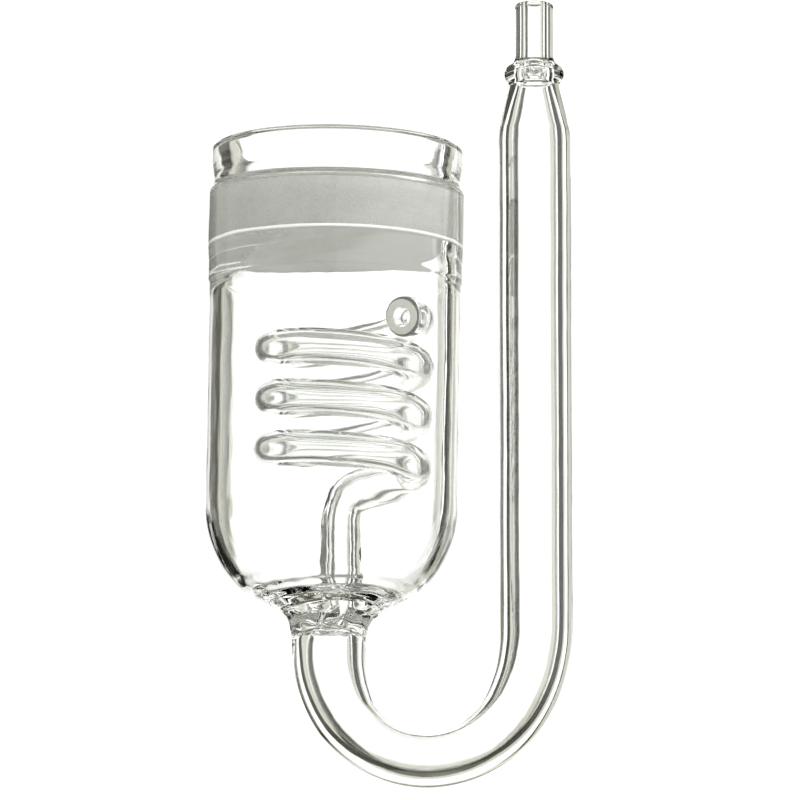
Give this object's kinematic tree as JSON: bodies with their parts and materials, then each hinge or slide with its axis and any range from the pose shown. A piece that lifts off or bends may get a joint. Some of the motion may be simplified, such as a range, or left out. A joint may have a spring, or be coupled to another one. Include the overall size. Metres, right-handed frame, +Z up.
{
  "type": "glass co2 diffuser with spiral bubble counter",
  "caption": "Clear glass cup closed by a white porous disc, with a glass spiral inside and a J-shaped feed tube that ends in a beaded hose tip.",
  "frame": {"origin": "on the axis of the straight riser tube, at mid height of the length that a holding clip grips", "axes": "+Z up along the riser towards the hose tip, -X towards the cup, -Y towards the viewer"},
  "size_m": [0.0499, 0.035, 0.108],
  "materials": {
    "clear_glass": "fire-polished clear borosilicate",
    "fused_glass": "thick flowed clear glass at the welds",
    "spiral_glass": "clear capillary-walled tube with a ground end",
    "sintered_disc": "matt, fine porous grain"
  },
  "bodies": {
    "root": {"rim_ring": "clear_glass", "disc_band": "fused_glass", "frit_disc": "sintered_disc", "upper_seal": "fused_glass", "lower_seal": "fused_glass", "bell_barrel": "clear_glass", "bell_floor": "clear_glass", "neck": "fused_glass", "stem": "spiral_glass", "stem_bend": "spiral_glass", "spiral": "spiral_glass", "u_bend": "clear_glass", "riser": "clear_glass", "shoulder": "clear_glass", "bead": "fused_glass", "hose_tip": "clear_glass"}
  },
  "joints": []
}
